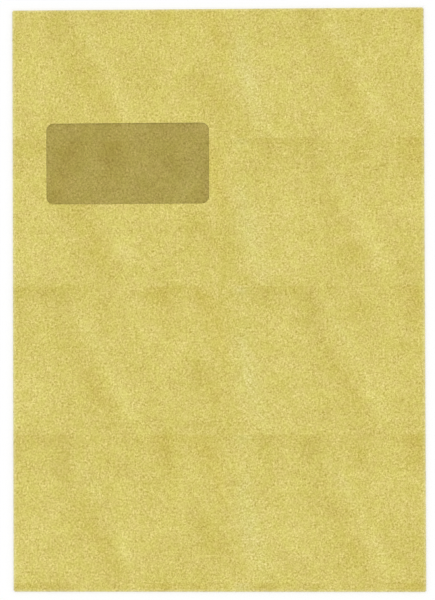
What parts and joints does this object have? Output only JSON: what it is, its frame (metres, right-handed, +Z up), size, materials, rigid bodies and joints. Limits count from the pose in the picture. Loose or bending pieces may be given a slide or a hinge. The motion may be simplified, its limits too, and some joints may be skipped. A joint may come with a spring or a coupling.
{
  "type": "window envelope",
  "caption": "Flat kraft paper pocket envelope with a rounded oblong window backed by clear film, a folded seal flap, a bottom flap and a glued centre seam behind.",
  "frame": {"origin": "on the surface that the envelope lies on, under the middle of its outline", "axes": "+Z up, out of the window side; +Y along the long side, towards the seal flap's fold; +X to the right as the window side is read, with the window on the -X side"},
  "size_m": [0.229, 0.324, 0.0032],
  "materials": {
    "kraft_paper": "matte",
    "clear_film": "gloss",
    "dried_gum": "satin"
  },
  "bodies": {
    "root": {"envelope_paper": "kraft_paper", "window_film": "clear_film", "seal_gum": "dried_gum"}
  },
  "joints": []
}
